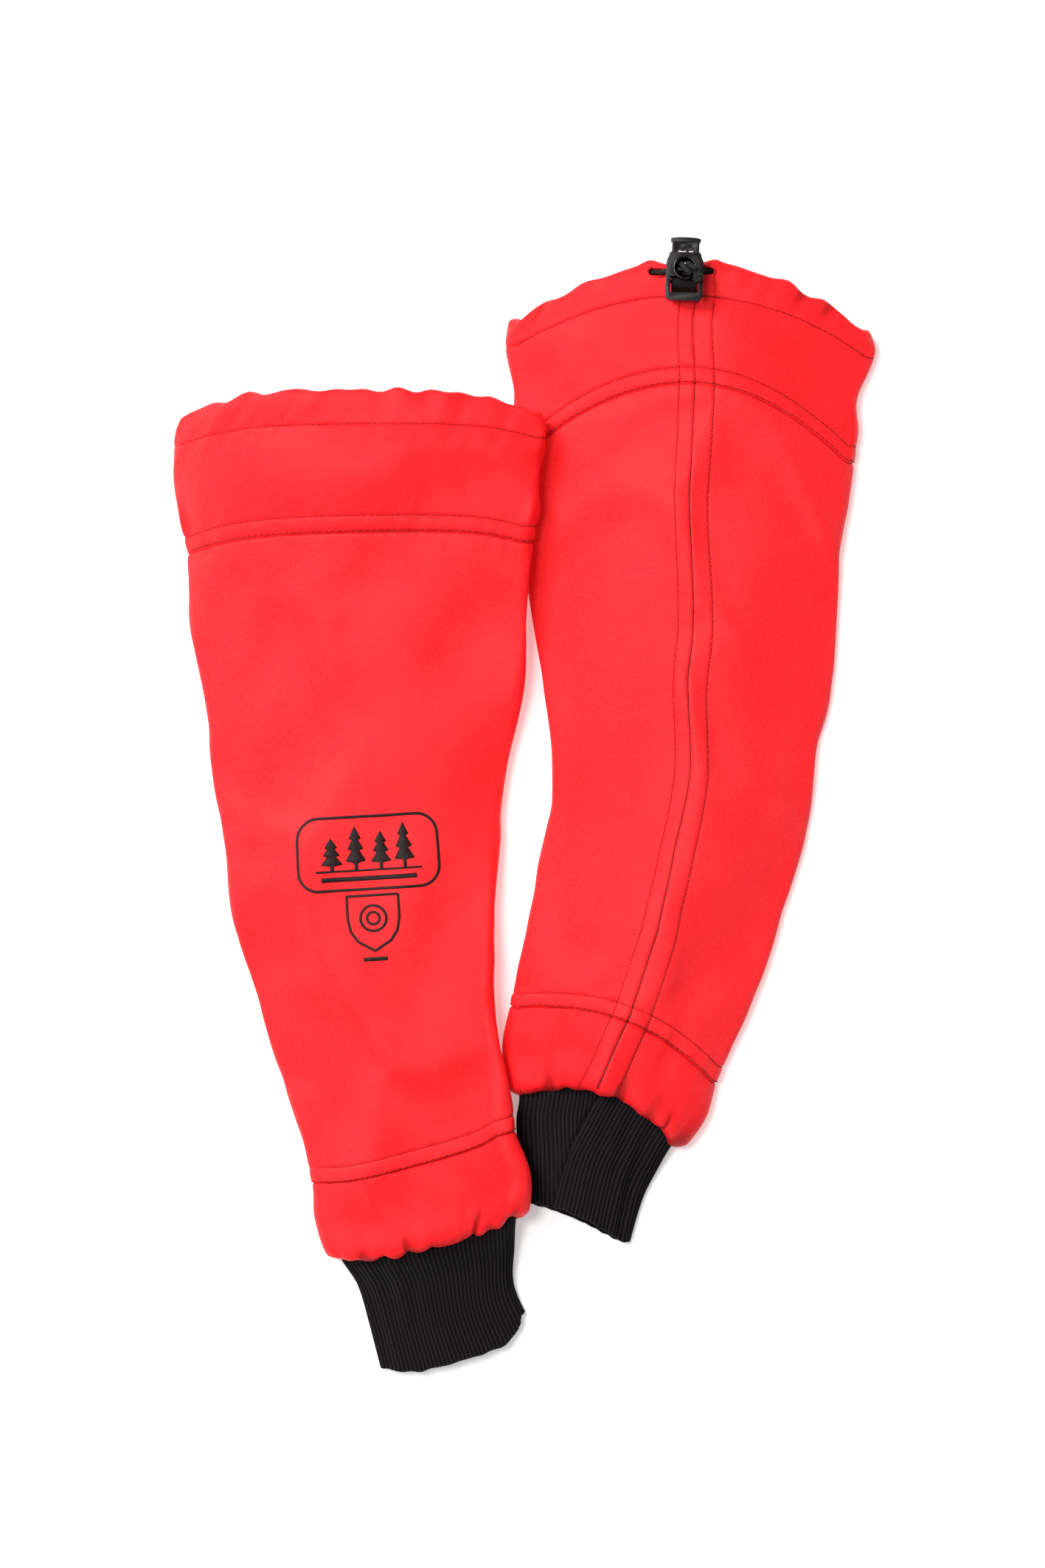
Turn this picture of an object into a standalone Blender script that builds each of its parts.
"""Pair of chainsaw-protection arm sleeves, lying flat with the left one over the right one's edge.

Metres, +Z up, the floor at z = 0, +Y towards the sleeves' upper openings. Sizes below are in mm.
Each sleeve is a padded tube: a thin lens-shaped hollow, and layers that stand off it by set distances.
"""

import math

import bmesh
import bpy
import numpy as np
from mathutils import Matrix, Vector

MM = 0.001

# Stand-off of each layer from the inner lens, inner face to outer face.
LINING = (1.0, 2.0)
GUARD = (2.3, 6.3)
SHELL = (6.6, 7.8)
CUFF = (1.0, 4.0)
FULL_SKIN = SHELL[1]
BLOUSED_SKIN = 11.4
CUFF_SKIN = CUFF[1]

PANEL_GAP = 0.4
HEM_DEPTH = 19.0
HEM_FLAP = (1.0, 2.0)
CUFF_TUCK = 9.0
LINING_STOP = 11.0
GUARD_PAST_SEAM = 10.0
GUARD_SEAM_GAP = 0.035

CORD_DIAMETER = 3.0
FREE_SPACING = 3.0
CORD_IN_CASING = (5.0, 4.3)
CASING_CLEAR = 0.14
HOLE_LENGTH = 10.6
HOLE_WIDTH = 4.0
RIM_LENGTH = 13.6
RIM_WIDTH = 7.4
RIM_HEIGHTS = (0.45, 1.05)
KNOT_PLACE = (7.5, -13.9, 17.4)
KNOT_RADII = (3.4, 3.2, 2.8)

# Cord lock, in its own axes: X across, Y towards its button, Z away from the sleeve.
LOCK_WIDTH = 20.5
LOCK_TOP_WIDTH = 17.5
LOCK_LENGTH = 26.5
LOCK_THICKNESS = 10.0
LOCK_STAND_OFF = 4.3
LOCK_HOLE_RADIUS = 4.8
LOCK_HOLE_Y = -8.5
LOCK_RING_RADIUS = 6.3
LOCK_RING_RAISE = 1.2
LOCK_WIDEST = -5.5
LOCK_CORNER_RADIUS = 3.5
CAVITY_WIDTH = 15.6
CAVITY_THICKNESS = 7.6
CAVITY_DEPTH = 13.8
WINDOW_WIDTH = 15.4
WINDOW_TOP = -13.4
WINDOW_BOTTOM = -22.2
WEBBING_RELIEF = 4.4
BUTTON_WIDTH = 15.0
BUTTON_THICKNESS = 7.0
BUTTON_TOP = 8.2
BUTTON_TRAVEL = 3.0
CAP_OVERHANG = 0.8
CAP_DEPTH = 2.5
POST_TOP = -2.0
POST_LENGTH = 1.9
POST_HALF_WIDTH = 2.3
BAR_DROP = 2.6
BAR_RADIUS = 1.0
BUTTON_FOOT = 1.9
GRIP_HALF_WIDTH = 4.0
SPRING_POCKET = 2.6
SPRING_RADIUS = 1.9
SPRING_WIRE = 0.6
SPRING_TURNS = 4
TAB_WIDTH = 13.6
TAB_THICKNESS = 1.2
HINGE_Y = -25.6
HINGE_Z = 1.9
STRAND_Y = -6.7
STRAND_X = 1.65

# One row for each station down a sleeve: left edge x, y, right edge x, y, then how far the middle
# of the upper face runs ahead of a straight line between the edges, the thickness, the clearance
# under the flat face, the outer skin's stand-off from the lens, and the edge lifts left and right.
LEFT_STATIONS = {
    "hem": (-191.0, 217.0, 8.0, 217.5, 10.4, 40.0, 20.4, FULL_SKIN, -20.4, 8.0),
    "casing": (-193.5, 203.0, 12.5, 205.0, 7.8, 40.0, 20.4, FULL_SKIN, -20.4, 8.0),
    "band": (-194.0, 175.0, 9.5, 179.0, 7.0, 40.5, 20.4, FULL_SKIN, -20.4, 7.5),
    "yoke": (-189.0, 144.5, 4.8, 149.5, 7.2, 42.0, 13.0, FULL_SKIN, -13.0, 12.0),
    "upper_arm": (-184.0, 99.0, 1.0, 105.5, 6.0, 44.0, 4.0, FULL_SKIN, -4.0, 15.0),
    "elbow": (-175.0, 38.0, -5.0, 44.0, 4.2, 44.0, 0.0, FULL_SKIN, 0.0, 10.0),
    "forearm": (-166.0, -24.0, -14.5, -11.5, 2.5, 43.0, 0.0, FULL_SKIN, 0.0, 8.0),
    "lower_arm": (-158.0, -71.0, -17.2, -52.5, 1.0, 41.0, 0.0, FULL_SKIN, 0.0, 10.0),
    "wrist_bend": (-147.0, -114.0, -17.0, -93.5, 0.0, 39.0, 0.0, FULL_SKIN, 0.0, 13.0),
    "low": (-132.0, -157.0, -12.5, -129.5, -2.0, 37.0, 0.0, FULL_SKIN, 0.0, 17.0),
    "lower_seam": (-118.5, -206.5, -5.5, -175.5, -4.0, 36.0, 0.0, FULL_SKIN, 0.0, 20.0),
    "lower_band": (-115.5, -231.0, 5.0, -203.0, -4.5, 36.0, 1.0, 9.8, 0.0, 19.0),
    "band_end": (-108.5, -253.5, 2.5, -226.5, -5.0, 36.0, 3.0, BLOUSED_SKIN, 0.0, 10.0),
    "cuff_neck": (-92.0, -267.0, -5.5, -245.0, -5.5, 17.0, 6.0, CUFF_SKIN, 0.0, 3.0),
    "cuff": (-85.0, -290.0, -5.5, -267.0, -6.0, 16.0, 2.0, CUFF_SKIN, 0.0, 0.0),
    "cuff_end": (-79.0, -315.0, 4.5, -290.5, -6.6, 16.0, 0.0, CUFF_SKIN, 0.0, 0.0),
}
RIGHT_STATIONS = {
    "hem": (-7.0, 270.5, 194.5, 263.5, 32.5, 41.0, 0.0, FULL_SKIN, 0.0, 0.0),
    "casing": (-9.5, 255.5, 195.5, 249.0, 28.5, 41.0, 0.0, FULL_SKIN, 0.0, 0.0),
    "band": (-6.0, 230.5, 187.0, 226.5, 36.0, 41.0, 0.0, FULL_SKIN, 0.0, 0.0),
    "yoke": (-3.0, 199.5, 183.5, 195.0, 39.5, 42.0, 0.0, FULL_SKIN, 0.0, 0.0),
    "upper_arm": (2.0, 134.0, 176.0, 132.0, 36.0, 43.0, 0.0, FULL_SKIN, 0.0, 0.0),
    "elbow": (10.0, 70.5, 170.0, 66.5, 33.0, 43.0, 0.0, FULL_SKIN, 0.0, 0.0),
    "forearm": (13.7, 33.5, 162.0, 31.5, 29.0, 43.0, 0.0, FULL_SKIN, 0.0, 0.0),
    "lower_arm": (14.5, -3.5, 157.0, -13.5, 25.0, 42.0, 0.0, FULL_SKIN, 0.0, 0.0),
    "wrist_bend": (8.5, -38.0, 145.0, -56.5, 21.0, 41.0, 0.0, FULL_SKIN, 0.0, 0.0),
    "low": (0.0, -75.0, 130.0, -99.5, 18.5, 39.0, 0.0, FULL_SKIN, 0.0, 0.0),
    "lower_seam": (-6.0, -108.0, 108.5, -150.5, 15.5, 37.0, 0.0, FULL_SKIN, 0.0, 0.0),
    "lower_band": (-11.0, -134.5, 101.5, -173.5, 15.5, 36.0, 0.0, 9.8, 0.0, 0.0),
    "band_end": (-10.0, -159.0, 89.5, -190.5, 15.5, 35.0, 0.0, BLOUSED_SKIN, 0.0, 0.0),
    "cuff_neck": (-4.5, -175.0, 74.0, -203.0, 13.0, 19.0, 3.0, CUFF_SKIN, 0.0, 0.0),
    "cuff": (-3.0, -196.0, 66.0, -219.0, 10.0, 21.0, 1.0, CUFF_SKIN, 0.0, 0.0),
    "cuff_end": (-2.0, -220.5, 58.5, -247.3, 6.0, 22.0, 0.0, CUFF_SKIN, 0.0, 0.0),
}

# How each sleeve lies: which face its back seam and cord lock are on (+1 up, -1 down), how the
# upper face's bow fades towards the edges, how much of it the lower face shares, where the lock
# sits across the sleeve and down from its top edge, and where the two buttonholes are, in mm.
LEFT_SLEEVE = {
    "name": "left",
    "stations": LEFT_STATIONS,
    "back": -1,
    "bow_power": 4.0,
    "under_bow": 0.6,
    "lock_x": 0.0,
    "lock_top": 13.0,
    "holes_x": (-15.0, 15.0),
}
RIGHT_SLEEVE = {
    "name": "right",
    "stations": RIGHT_STATIONS,
    "back": 1,
    "bow_power": 2.0,
    "under_bow": 0.45,
    "lock_x": -5.9,
    "lock_top": -3.5,
    "holes_x": (-20.5, 5.2),
}

COLOURS = {
    "red_fabric": ((0.9, 0.045, 0.05), 0.75, 0.0),
    "grey_lining": ((0.32, 0.32, 0.33), 0.85, 0.0),
    "white_guard": ((0.82, 0.8, 0.74), 0.9, 0.0),
    "black_rib": ((0.012, 0.009, 0.011), 0.9, 0.0),
    "black_cord": ((0.01, 0.01, 0.01), 0.8, 0.0),
    "black_webbing": ((0.014, 0.012, 0.012), 0.85, 0.0),
    "black_plastic": ((0.016, 0.014, 0.014), 0.35, 0.0),
    "spring_steel": ((0.62, 0.62, 0.6), 0.3, 1.0),
}


def clear_scene():
    for ob in list(bpy.data.objects):
        bpy.data.objects.remove(ob, do_unlink=True)


def material(name):
    """The named Principled material."""
    mat = bpy.data.materials.get(name)
    if mat is None:
        colour, roughness, metallic = COLOURS[name]
        mat = bpy.data.materials.new(name)
        mat.use_nodes = True
        shader = mat.node_tree.nodes["Principled BSDF"]
        shader.inputs["Base Color"].default_value = (*colour, 1.0)
        shader.inputs["Roughness"].default_value = roughness
        shader.inputs["Metallic"].default_value = metallic
    return mat


def smooth_rows(keys, rows, at):
    """A Catmull-Rom curve through rows of numbers, read at one place."""
    last = len(keys) - 2
    i = int(np.clip(np.searchsorted(keys, at, side="right") - 1, 0, last))
    h = keys[i + 1] - keys[i]
    f = (at - keys[i]) / h

    def slope(j):
        lo, hi = max(j - 1, 0), min(j + 1, len(keys) - 1)
        return (rows[hi] - rows[lo]) / (keys[hi] - keys[lo])

    a, b = rows[i], rows[i + 1]
    f2, f3 = f * f, f * f * f
    bend_in = (f3 - 2 * f2 + f) * h * slope(i)
    bend_out = (f3 - f2) * h * slope(i + 1)
    return (2 * f3 - 3 * f2 + 1) * a + bend_in + (3 * f2 - 2 * f3) * b + bend_out


class Sleeve:
    """Places points by distance down the sleeve, place round it, and stand-off from the lens."""

    def __init__(self, spec):
        self.spec = spec
        self.names = list(spec["stations"])
        raw = np.array([spec["stations"][n] for n in self.names])
        mid = (raw[:, 0:2] + raw[:, 2:4]) / 2
        steps = np.linalg.norm(np.diff(mid, axis=0), axis=1) - np.diff(raw[:, 4])
        self.keys = np.concatenate(([0.0], np.cumsum(steps)))
        across = raw[:, 2:4] - raw[:, 0:2]
        half = np.linalg.norm(across, axis=1) / 2
        turn = np.arctan2(across[:, 1], across[:, 0])
        skin = raw[:, 7]
        rise, base = raw[:, 5] - 2 * skin, raw[:, 6] + skin
        self.rows = np.column_stack((mid, turn, half - skin, raw[:, 4], rise, base, raw[:, 8:10], skin))

    def at(self, name):
        return float(self.keys[self.names.index(name)])

    def skin(self, s):
        return float(smooth_rows(self.keys, self.rows, s)[9])

    def point(self, s, place, offset):
        """place is (side, value): a top or bottom position -1..1, or how far round an edge 0..1."""
        row = smooth_rows(self.keys, self.rows, s)
        cx, cy, turn, half, bow, rise, base, lift_l, lift_r, _ = row
        side, value = place
        t = {"top": value, "bottom": value, "right": 1.0, "left": -1.0}[side]
        lift = lift_l if t < 0 else lift_r
        floor = base + lift * abs(t) ** 3
        floor_slope = 3 * lift * t * abs(t) / half
        crown_slope = floor_slope - 2 * rise * t / half
        up = math.atan2(1.0, -crown_slope)
        down = math.atan2(-1.0, floor_slope)
        if side == "top":
            angle, z = up, floor + rise * (1 - t * t)
        elif side == "bottom":
            angle, z = down, floor
        elif side == "right":
            angle, z = up + (down - up) * value, floor
        else:
            angle, z = down + (up - 2 * math.pi - down) * value, floor
        x = t * half + offset * math.cos(angle)
        z = z + offset * math.sin(angle)
        share = 1.0 if side == "top" else self.spec["under_bow"]
        if side == "right":
            share = 1.0 + (self.spec["under_bow"] - 1.0) * value
        if side == "left":
            share = self.spec["under_bow"] + (1.0 - self.spec["under_bow"]) * value
        ahead = bow * (1 - abs(t) ** self.spec["bow_power"]) * share
        east = np.array((math.cos(turn), math.sin(turn)))
        north = np.array((-math.sin(turn), math.cos(turn)))
        spot = np.array((cx, cy)) + x * east + ahead * north
        return Vector((spot[0], spot[1], z)) * MM

    def face_place(self, x, s):
        """The place on the back-seam face that lies x mm from the sleeve's middle."""
        half = smooth_rows(self.keys, self.rows, s)[3]
        return ("top" if self.spec["back"] > 0 else "bottom", x / half)


def ring(top=10, edge=3, bottom=8, split=None, gap=GUARD_SEAM_GAP):
    """Places round a sleeve, clockwise seen from the opening; split leaves a gap on that face."""
    upper = [("top", -1 + 2 * i / top) for i in range(top + 1)]
    lower = [("bottom", 1 - 2 * i / bottom) for i in range(bottom + 1)]
    right = [("right", i / edge) for i in range(1, edge)]
    left = [("left", i / edge) for i in range(1, edge)]
    if split is None:
        return upper + right + lower + left
    if split == "top":
        half = top // 2
        start = [("top", gap)] + upper[half + 1 :]
        end = upper[:half] + [("top", -gap)]
        return start + right + lower + left + end
    half = bottom // 2
    start = [("bottom", -gap)] + lower[half + 1 :]
    end = lower[:half] + [("bottom", gap)]
    return start + left + upper + right + end


def add_object(name, mesh, slot, parent=None, smooth=True):
    mesh.materials.append(material(slot))
    if smooth:
        mesh.shade_smooth()
        mesh.set_sharp_from_angle(angle=math.radians(40))
    ob = bpy.data.objects.new(name, mesh)
    bpy.context.scene.collection.objects.link(ob)
    if parent is not None:
        ob.parent = parent
        ob.matrix_parent_inverse = parent.matrix_world.inverted()
    return ob


def mesh_from(name, verts, faces):
    mesh = bpy.data.meshes.new(name)
    mesh.from_pydata([tuple(v) for v in verts], [], faces)
    bm = bmesh.new()
    bm.from_mesh(mesh)
    bmesh.ops.recalc_face_normals(bm, faces=bm.faces)
    bm.to_mesh(mesh)
    bm.free()
    return mesh


def split_quad(a, b, c, d):
    """Every layer's quads are cut from a to c, so that a layer's facets lie along its neighbour's."""
    return [(a, b, c), (a, c, d)]


def swept_profile(name, sleeve, profile, places):
    """A closed outline of (distance, stand-off) points, swept right round the sleeve."""
    n, m = len(profile), len(places)
    verts = [sleeve.point(s, place, o) for place in places for s, o in profile]
    faces = []
    for i in range(m):
        for j in range(n):
            a, b = i * n + j, i * n + (j + 1) % n
            c, d = ((i + 1) % m) * n + (j + 1) % n, ((i + 1) % m) * n + j
            down = profile[j][0] <= profile[(j + 1) % n][0]
            faces += split_quad(a, b, c, d) if down else split_quad(b, a, d, c)
    return mesh_from(name, verts, faces)


def open_wall(name, sleeve, rows, layer, places):
    """A wrap whose two long edges face each other across a gap."""
    n, m = len(rows), len(places)
    verts = [sleeve.point(s, p, o) for p in places for o in layer for s in rows]
    faces = []
    for i in range(m - 1):
        for j in range(n - 1):
            for k in (0, n):
                a = 2 * n * i + k + j
                faces += split_quad(a, a + 1, a + 2 * n + 1, a + 2 * n)
        for j in (0, n - 1):
            a = 2 * n * i + j
            faces.append((a, a + n, a + 3 * n, a + 2 * n))
    for i in (0, m - 1):
        for j in range(n - 1):
            a = 2 * n * i + j
            faces.append((a, a + 1, a + n + 1, a + n))
    return mesh_from(name, verts, faces)


def wall_profile(rows, layer):
    return [(s, layer[1]) for s in rows] + [(s, layer[0]) for s in reversed(rows)]


def rows_between(sleeve, start, end, extra=()):
    """The stations between two distances, with both ends, so that every layer bends at the same places."""
    inner = [k for k in [*sleeve.keys, *extra] if start + 2.0 < k < end - 2.0]
    return [start] + sorted(inner) + [end]


def spread(start, end, count):
    return [start + (end - start) * i / count for i in range(count + 1)]


def hem_profile(sleeve, bottom):
    """The upper band's outline: up the outside, over the fold and down inside to the stitching."""
    outer, inner = SHELL[1], SHELL[0]
    flap_in, flap_out = HEM_FLAP
    rows = rows_between(sleeve, HEM_DEPTH, bottom)
    outside = [(s, outer) for s in reversed(rows)]
    fold = [(2.2, outer), (0.7, 7.0), (0.0, 5.4), (0.0, 3.4), (0.7, 1.8), (2.2, flap_in)]
    flap = [(HEM_DEPTH, flap_in), (HEM_DEPTH, inner - 0.4)]
    channel = [(HEM_DEPTH - 1.2, inner - 0.4), (HEM_DEPTH - 1.2, flap_out), (2.6, flap_out)]
    tip = [(1.3, 3.4), (1.3, 5.2), (2.6, inner)]
    back = [(s, inner) for s in rows]
    return outside + fold + flap + channel + tip + back


def gathered_profile(sleeve, top, end):
    """The lower band's outline: it blouses out, then turns in and closes on the rib cuff."""
    thick = SHELL[1] - SHELL[0]
    last = end - 4.0
    rows = rows_between(sleeve, top, last, [top + GUARD_PAST_SEAM])
    outside = [(s, sleeve.skin(s)) for s in rows]
    skin = sleeve.skin(last)
    turn_in = [(end - 1.2, skin - 1.6), (end, skin - 4.0), (end, CUFF_SKIN + 0.4)]
    turn_back = [(end - 1.2, CUFF_SKIN + 0.4), (end - 1.2, skin - 4.6), (end - 2.4, skin - 2.6)]
    inside = [(s, sleeve.skin(s) - thick) for s in reversed(rows)]
    return outside + turn_in + turn_back + inside


def cut(ob, cutters, operation="DIFFERENCE"):
    """Applies a Boolean with each cutter, then drops the cutters."""
    for cutter in cutters:
        mod = ob.modifiers.new("cut", "BOOLEAN")
        mod.operation = operation
        mod.object = cutter
        bpy.context.view_layer.update()
        graph = bpy.context.evaluated_depsgraph_get()
        done = bpy.data.meshes.new_from_object(ob.evaluated_get(graph))
        ob.modifiers.clear()
        ob.data = done
        bpy.data.objects.remove(cutter, do_unlink=True)


def drop_materials(mesh, slot):
    mesh.materials.clear()
    mesh.materials.append(material(slot))


def shape(name, verts, faces, frame):
    """A loose helper object made from points in a local frame."""
    mesh = mesh_from(name, [frame @ (Vector(v) * MM) for v in verts], faces)
    ob = bpy.data.objects.new(name, mesh)
    bpy.context.scene.collection.objects.link(ob)
    return ob


def prism(name, outline, low, high, frame):
    """An outline in X and Y, raised from z low to z high."""
    n = len(outline)
    verts = [(x, y, low) for x, y in outline] + [(x, y, high) for x, y in outline]
    faces = [tuple(range(n)), tuple(range(n, 2 * n))]
    faces += [(i, (i + 1) % n, n + (i + 1) % n, n + i) for i in range(n)]
    return shape(name, verts, faces, frame)


def box(name, low, high, frame):
    outline = ((low[0], low[1]), (high[0], low[1]), (high[0], high[1]), (low[0], high[1]))
    return prism(name, outline, low[2], high[2], frame)


def circle(radius, count, cx=0.0, cy=0.0):
    turns = [2 * math.pi * (i + 0.5) / count for i in range(count)]
    return [(cx + radius * math.cos(a), cy + radius * math.sin(a)) for a in turns]


def oval(length, width, count=4):
    """A stadium outline, long in X."""
    r, shift = width / 2, (length - width) / 2
    right = [(shift + r * math.sin(a), -r * math.cos(a)) for a in spread(0, math.pi, count)]
    left = [(-x, -y) for x, y in right]
    return right + left


def face_frame(sleeve, s, x, reach=5.0):
    """A local frame on the back-seam face: X across, Y to the opening, Z out of the sleeve."""
    skin = sleeve.skin(s)
    spot = sleeve.point(s, sleeve.face_place(x, s), skin)
    ahead, behind = (sleeve.point(s + d, sleeve.face_place(x, s), skin) for d in (-reach, reach))
    side_a, side_b = (sleeve.point(s, sleeve.face_place(x + d, s), skin) for d in (-reach, reach))
    north = (ahead - behind).normalized()
    up = (side_b - side_a).cross(north).normalized() * sleeve.spec["back"]
    east = north.cross(up)
    return Matrix.Translation(spot) @ Matrix((east, north, up)).transposed().to_4x4()


def make_layers(sleeve, body):
    name = sleeve.spec["name"]
    yoke, lower = sleeve.at("yoke"), sleeve.at("lower_seam")
    band_end, cuff_end = sleeve.at("band_end"), sleeve.at("cuff_end")
    half_gap = PANEL_GAP / 2
    places = ring()
    profile = hem_profile(sleeve, yoke - half_gap)
    band_mesh = swept_profile(f"{name}_upper_band", sleeve, profile, places)
    band = add_object(f"{name}_upper_band", band_mesh, "red_fabric", body)
    rows = rows_between(sleeve, yoke + half_gap, lower - half_gap)
    mesh = swept_profile(f"{name}_main_panel", sleeve, wall_profile(rows, SHELL), places)
    add_object(f"{name}_main_panel", mesh, "red_fabric", body)
    profile = gathered_profile(sleeve, lower + half_gap, band_end)
    mesh = swept_profile(f"{name}_lower_band", sleeve, profile, places)
    add_object(f"{name}_lower_band", mesh, "red_fabric", body)
    rows = rows_between(sleeve, HEM_DEPTH + 1.5, lower + GUARD_PAST_SEAM)
    split = "top" if sleeve.spec["back"] > 0 else "bottom"
    mesh = open_wall(f"{name}_saw_guard", sleeve, rows, GUARD, ring(split=split))
    add_object(f"{name}_saw_guard", mesh, "white_guard", body)
    rows = rows_between(sleeve, HEM_DEPTH + 1.5, band_end - LINING_STOP, [lower + GUARD_PAST_SEAM])
    mesh = swept_profile(f"{name}_lining", sleeve, wall_profile(rows, LINING), places)
    add_object(f"{name}_lining", mesh, "grey_lining", body)
    tuck = band_end - CUFF_TUCK
    rows = [tuck, tuck + 4.0, band_end - 1.2] + rows_between(sleeve, band_end, cuff_end)
    mesh = swept_profile(f"{name}_rib_cuff", sleeve, wall_profile(rows, CUFF), places)
    add_object(f"{name}_rib_cuff", mesh, "black_rib", body)
    return band


def make_buttonholes(sleeve, band, body):
    """Cuts the two slots in the hem and lays a stitched oval round each."""
    name = sleeve.spec["name"]
    slot = CORD_IN_CASING[0]
    for label, x in zip(("outer", "inner"), sleeve.spec["holes_x"]):
        frame = face_frame(sleeve, slot, x)
        cut(band, [prism("slot_cut", oval(HOLE_LENGTH, 4.6), -2.9, 2.0, frame)])
        drop_materials(band.data, "red_fabric")
        rim = prism("rim", oval(RIM_LENGTH, RIM_WIDTH), *RIM_HEIGHTS, frame)
        cut(rim, [prism("rim_cut", oval(HOLE_LENGTH, HOLE_WIDTH), -1.0, 2.0, frame)])
        rim_name = f"{name}_{label}_buttonhole"
        add_object(rim_name, rim.data, "black_cord", body)
        bpy.data.objects.remove(rim, do_unlink=True)


def lock_frame(sleeve):
    """The lock's frame: its top edge at Y = 0, Z = 0 on the hem's outer face."""
    s = sleeve.spec["lock_top"]
    spot = face_frame(sleeve, HEM_DEPTH / 2, sleeve.spec["lock_x"])
    return spot @ Matrix.Translation(Vector((0, HEM_DEPTH / 2 - s, 0)) * MM)


def lock_outline():
    """The housing from above: it flares from its button end, and its lower corners are round."""
    w, t, bottom, r = LOCK_WIDTH / 2, LOCK_TOP_WIDTH / 2, -LOCK_LENGTH, LOCK_CORNER_RADIUS
    right = [(t - 1.0, 0.0), (t, -1.0), (w, LOCK_WIDEST), (w, -12.0)]
    turns = spread(0, math.pi / 2, 4)
    corner = [(w - r + r * math.cos(a), bottom + r - r * math.sin(a)) for a in turns]
    half = right + corner
    return half + [(-x, y) for x, y in reversed(half)]


def make_housing(sleeve, frame, body):
    low, high = LOCK_STAND_OFF, LOCK_STAND_OFF + LOCK_THICKNESS
    mid = (low + high) / 2
    ob = prism("housing", lock_outline(), low, high, frame)
    half_w, half_t = CAVITY_WIDTH / 2, CAVITY_THICKNESS / 2
    cavity_low = (-half_w, -CAVITY_DEPTH, mid - half_t)
    cavity = box("cavity", cavity_low, (half_w, 2.0, mid + half_t), frame)
    cut(ob, [cavity])
    post_low = (-POST_HALF_WIDTH, POST_TOP - POST_LENGTH, mid - half_t - 0.3)
    post = box("post", post_low, (POST_HALF_WIDTH, POST_TOP, mid + half_t + 0.3), frame)
    cut(ob, [post], "UNION")
    half_window = WINDOW_WIDTH / 2
    window_low = (-half_window, WINDOW_BOTTOM, low - 1)
    window = box("window", window_low, (half_window, WINDOW_TOP, high + 1), frame)
    relief_low = (-half_window, -LOCK_LENGTH - 1, low - 1)
    relief = box("relief", relief_low, (half_window, WINDOW_BOTTOM + 0.2, low + WEBBING_RELIEF), frame)
    cut(ob, [window, relief])
    ring_outline = circle(LOCK_RING_RADIUS, 20, 0, LOCK_HOLE_Y)
    cut(ob, [prism("ring", ring_outline, high - 1.0, high + LOCK_RING_RAISE, frame)], "UNION")
    cut(ob, [prism("hole", circle(LOCK_HOLE_RADIUS, 20, 0, LOCK_HOLE_Y), low - 1, high + 2, frame)])
    half_bar = half_window + 0.5
    bar = prism("bar", circle(BAR_RADIUS, 8), -half_bar, half_bar, frame @ bar_frame())
    cut(ob, [bar], "UNION")
    add_object(f"{sleeve.spec['name']}_lock_housing", fresh(ob, "black_plastic"), "black_plastic", body)


def bar_frame():
    """The webbing bar runs across the window, near its top."""
    place = Matrix.Translation(Vector((0, WINDOW_TOP - BAR_DROP, LOCK_STAND_OFF + LOCK_THICKNESS / 2)) * MM)
    return place @ Matrix.Rotation(math.pi / 2, 4, "Y")


def fresh(ob, slot):
    """The helper's mesh without its helper object and old material slots."""
    mesh = ob.data
    mesh.materials.clear()
    bpy.data.objects.remove(ob, do_unlink=True)
    return mesh


def make_button(sleeve, frame, body):
    """The sprung plunger: a cap, a neck with a spring pocket, and a slot that grips the cord."""
    mid = LOCK_STAND_OFF + LOCK_THICKNESS / 2
    half_w, half_t = BUTTON_WIDTH / 2, BUTTON_THICKNESS / 2
    bottom = STRAND_Y - CORD_DIAMETER / 2 - 0.3 - BUTTON_FOOT
    top = BUTTON_TOP
    ob = box("button", (-half_w, bottom, mid - half_t), (half_w, top - 1.5, mid + half_t), frame)
    out = half_w + CAP_OVERHANG
    cap_outline = [(half_w - 1.2, top), (out, top - 1.0), (out, top - 2.4)]
    cap_outline = cap_outline + [(-x, y) for x, y in reversed(cap_outline)]
    cap_low, cap_high = mid - half_t - CAP_OVERHANG, mid + half_t + CAP_OVERHANG
    cap = prism("cap", cap_outline, cap_low, cap_high, frame)
    cut(ob, [cap], "UNION")
    slot_top = POST_TOP + BUTTON_TRAVEL + 0.3
    slot_low = (-GRIP_HALF_WIDTH, bottom + BUTTON_FOOT, mid - half_t - 1)
    slot = box("slot", slot_low, (GRIP_HALF_WIDTH, slot_top, mid + half_t + 1), frame)
    pocket_low = (-SPRING_POCKET, slot_top - 1, mid - SPRING_POCKET)
    pocket = box("pocket", pocket_low, (SPRING_POCKET, top - CAP_DEPTH, mid + SPRING_POCKET), frame)
    cut(ob, [slot, pocket])
    add_object(f"{sleeve.spec['name']}_lock_button", fresh(ob, "black_plastic"), "black_plastic", body)


def tube(name, points, diameter, slot, body, sides=2):
    """A round cord as a curve with filled caps, along points in metres."""
    curve = bpy.data.curves.new(name, "CURVE")
    curve.dimensions = "3D"
    curve.bevel_depth = diameter / 2 * MM
    curve.bevel_resolution = sides
    curve.use_fill_caps = True
    spline = curve.splines.new("POLY")
    spline.points.add(len(points) - 1)
    for point, place in zip(spline.points, points):
        point.co = (*place, 1.0)
    curve.materials.append(material(slot))
    ob = bpy.data.objects.new(name, curve)
    bpy.context.scene.collection.objects.link(ob)
    ob.parent = body
    ob.matrix_parent_inverse = body.matrix_world.inverted()
    return ob


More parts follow.
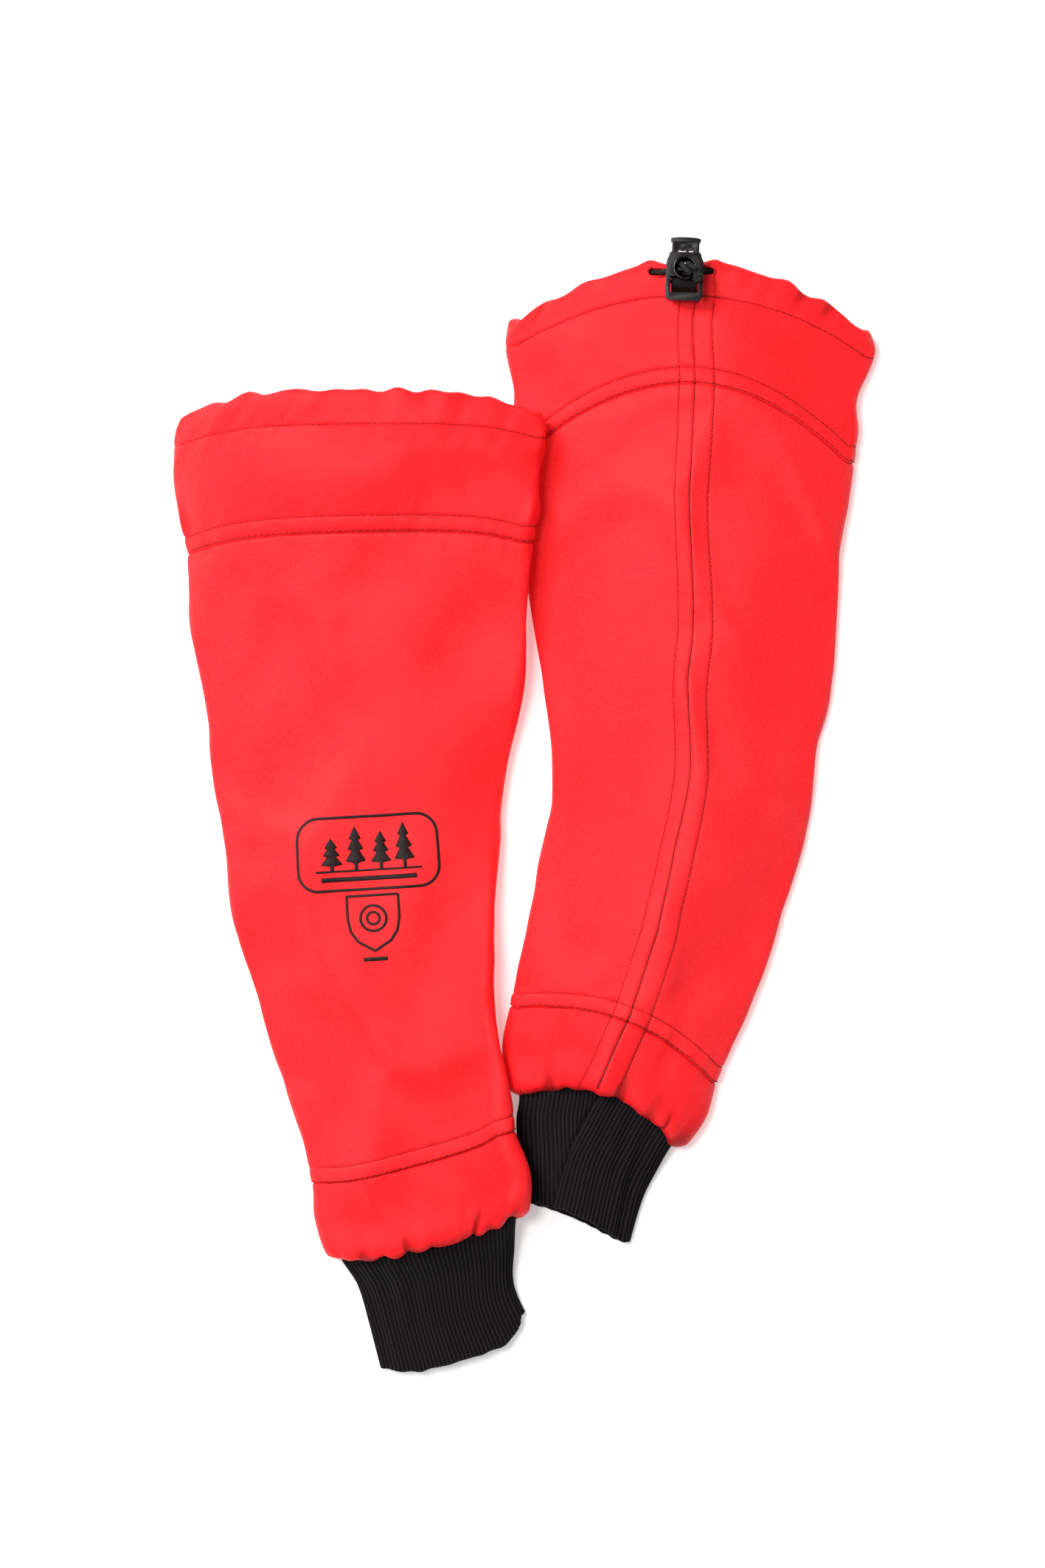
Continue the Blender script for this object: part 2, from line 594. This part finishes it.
def make_spring(sleeve, frame, body):
    """A coil between the housing's post and the inside of the cap."""
    mid = LOCK_STAND_OFF + LOCK_THICKNESS / 2
    low, high = POST_TOP + SPRING_WIRE + 0.1, BUTTON_TOP - CAP_DEPTH - SPRING_WIRE
    per_turn = 9
    count = SPRING_TURNS * per_turn
    points = []
    for i in range(count + 1):
        a = 2 * math.pi * i / per_turn
        y = low + (high - low) * i / count
        local = Vector((SPRING_RADIUS * math.cos(a), y, mid + SPRING_RADIUS * math.sin(a))) * MM
        points.append(frame @ local)
    tube(f"{sleeve.spec['name']}_lock_spring", points, SPRING_WIRE, "spring_steel", body, 1)


def make_tab(sleeve, frame, body):
    """The webbing loop: up from the seam, round the lock's bar and back."""
    bar_y, bar_z = WINDOW_TOP - BAR_DROP, LOCK_STAND_OFF + LOCK_THICKNESS / 2
    r = BAR_RADIUS + 0.35 + TAB_THICKNESS / 2
    ply = 0.7
    root_low, root_high = (HINGE_Y, HINGE_Z - ply), (HINGE_Y, HINGE_Z + ply)
    lower = [root_low, (HINGE_Y + 4.0, HINGE_Z - 0.65), (bar_y - 3.4, 4.3), (bar_y - 0.9, bar_z - r)]
    turns = spread(0.35, math.pi + 0.25, 6)
    around = [(bar_y + r * math.sin(a), bar_z - r * math.cos(a)) for a in turns]
    upper = [(bar_y - 2.6, bar_z + 0.6), (bar_y - 4.4, 6.5), (HINGE_Y + 3.6, HINGE_Z + 0.95), root_high]
    path = [Vector(p) for p in lower + around + upper]
    half = TAB_THICKNESS / 2
    sides = []
    for i, p in enumerate(path):
        run = (path[min(i + 1, len(path) - 1)] - path[max(i - 1, 0)]).normalized()
        sides.append((p + Vector((-run.y, run.x)) * half, p - Vector((-run.y, run.x)) * half))
    outline = [a for a, _ in sides] + [b for _, b in reversed(sides)]
    n = len(outline)
    w = TAB_WIDTH / 2
    verts = [frame @ (Vector((x, y, z)) * MM) for x in (-w, w) for y, z in outline]
    faces = [(i, (i + 1) % n, n + (i + 1) % n, n + i) for i in range(n)]
    for k in (0, n):
        faces += [(k + i, k + i + 1, k + n - 2 - i, k + n - 1 - i) for i in range(n // 2 - 1)]
    mesh = mesh_from("tab", verts, faces)
    add_object(f"{sleeve.spec['name']}_webbing_tab", mesh, "black_webbing", body)


def smooth_path(route, spacing):
    """Points at a set spacing, in mm, along a smooth curve through the route."""
    knots = np.array([tuple(p) for p in route])
    lengths = np.linalg.norm(np.diff(knots, axis=0), axis=1)
    keys = np.concatenate(([0.0], np.cumsum(lengths)))
    points = [knots[0]]
    for i, length in enumerate(lengths):
        count = max(1, round(length / (spacing * MM)))
        for j in range(1, count + 1):
            points.append(smooth_rows(keys, knots, keys[i] + length * j / count))
    return points


def strand_route(sleeve, sign, frame):
    """From the knot, over the lock's ring, down its hole, and along behind it towards a buttonhole."""
    top = LOCK_STAND_OFF + LOCK_THICKNESS
    drift = 0.4 * (sleeve.spec["lock_top"] - CORD_IN_CASING[0] - STRAND_Y)
    local = [
        (4.55 + 1.15 * sign, -11.05 + 1.15 * sign, top + 3.4),
        (3.0 + 1.2 * sign, -9.6 + 1.1 * sign, top + 4.0),
        (1.5 + 1.35 * sign, -8.15 + 0.8 * sign, top + 3.5),
        (0.4 + 1.5 * sign, -7.1 + 0.35 * sign, top + 1.95),
        (STRAND_X * sign, STRAND_Y, top - 0.2),
        (STRAND_X * sign, STRAND_Y, top - 4.0),
        (STRAND_X * sign, STRAND_Y, LOCK_STAND_OFF + 2.2),
        (2.9 * sign, STRAND_Y, 3.3),
        (5.8 * sign, STRAND_Y + drift, 2.5),
    ]
    return [frame @ (Vector(p) * MM) for p in local]


def hole_route(sleeve, x, sign):
    """From above the hem, through a buttonhole, into the casing."""
    s = CORD_IN_CASING[0]
    frame = face_frame(sleeve, s, x)
    dive = ((-4.4, 2.85), (0.0, -0.35), (3.6, -2.8), (7.6, -3.5))
    return [frame @ (Vector((x * sign, 0, z)) * MM) for x, z in dive]


def casing_route(sleeve, start, end):
    """Round the sleeve inside the hem, the long way from one buttonhole to the other."""
    s, offset = CORD_IN_CASING
    places = ring()
    face, step = ("top", 1) if sleeve.spec["back"] > 0 else ("bottom", -1)
    first, count = places.index((face, 0.0)), len(places)
    order = [places[(first + step * i) % count] for i in range(1, count)]
    low, high = end - CASING_CLEAR, start + CASING_CLEAR
    kept = [p for p in order if p[0] != face or p[1] > high or p[1] < low]
    return [sleeve.point(s, p, offset) for p in kept]


def make_cord(sleeve, frame, body):
    """One elastic cord: tail, lock, right buttonhole, round the casing, left buttonhole, lock, tail."""
    face = sleeve.spec["back"]
    outer_x, inner_x = sleeve.spec["holes_x"]
    start, end = (sleeve.face_place(x, CORD_IN_CASING[0])[1] for x in (inner_x, outer_x))
    go = strand_route(sleeve, face, frame) + hole_route(sleeve, inner_x, face)
    come = strand_route(sleeve, -face, frame) + hole_route(sleeve, outer_x, -face)
    points = smooth_path(go, FREE_SPACING) + casing_route(sleeve, start, end)
    points += list(reversed(smooth_path(come, FREE_SPACING)))
    tube(f"{sleeve.spec['name']}_drawcord", points, CORD_DIAMETER, "black_cord", body)


def make_knot(sleeve, frame, body):
    """The knot that joins the cord's two ends."""
    bm = bmesh.new()
    bmesh.ops.create_uvsphere(bm, u_segments=10, v_segments=6, radius=1.0)
    place = frame @ Matrix.Translation(Vector(KNOT_PLACE) * MM)
    bmesh.ops.scale(bm, vec=Vector(KNOT_RADII) * MM, verts=bm.verts)
    bmesh.ops.transform(bm, matrix=place, verts=bm.verts)
    mesh = bpy.data.meshes.new("knot")
    bm.to_mesh(mesh)
    bm.free()
    add_object(f"{sleeve.spec['name']}_cord_knot", mesh, "black_cord", body)


def empty(name, place, parent=None):
    ob = bpy.data.objects.new(name, None)
    bpy.context.scene.collection.objects.link(ob)
    ob.location = place
    bpy.context.view_layer.update()
    if parent is not None:
        ob.parent = parent
        ob.matrix_parent_inverse = parent.matrix_world.inverted()
    return ob


def make_sleeve(spec, parent):
    sleeve = Sleeve(spec)
    name = spec["name"]
    body = empty(f"{name}_sleeve_origin", (0, 0, 0), parent)
    band = make_layers(sleeve, body)
    make_buttonholes(sleeve, band, body)
    frame = lock_frame(sleeve)
    lock = empty(f"{name}_lock_hinge", frame @ (Vector((0, HINGE_Y, HINGE_Z)) * MM), body)
    make_housing(sleeve, frame, lock)
    make_tab(sleeve, frame, lock)
    make_button(sleeve, frame, lock)
    make_spring(sleeve, frame, lock)
    make_knot(sleeve, frame, lock)
    make_cord(sleeve, frame, body)
    return body


def main():
    clear_scene()
    right = make_sleeve(RIGHT_SLEEVE, None)
    make_sleeve(LEFT_SLEEVE, right)


main()
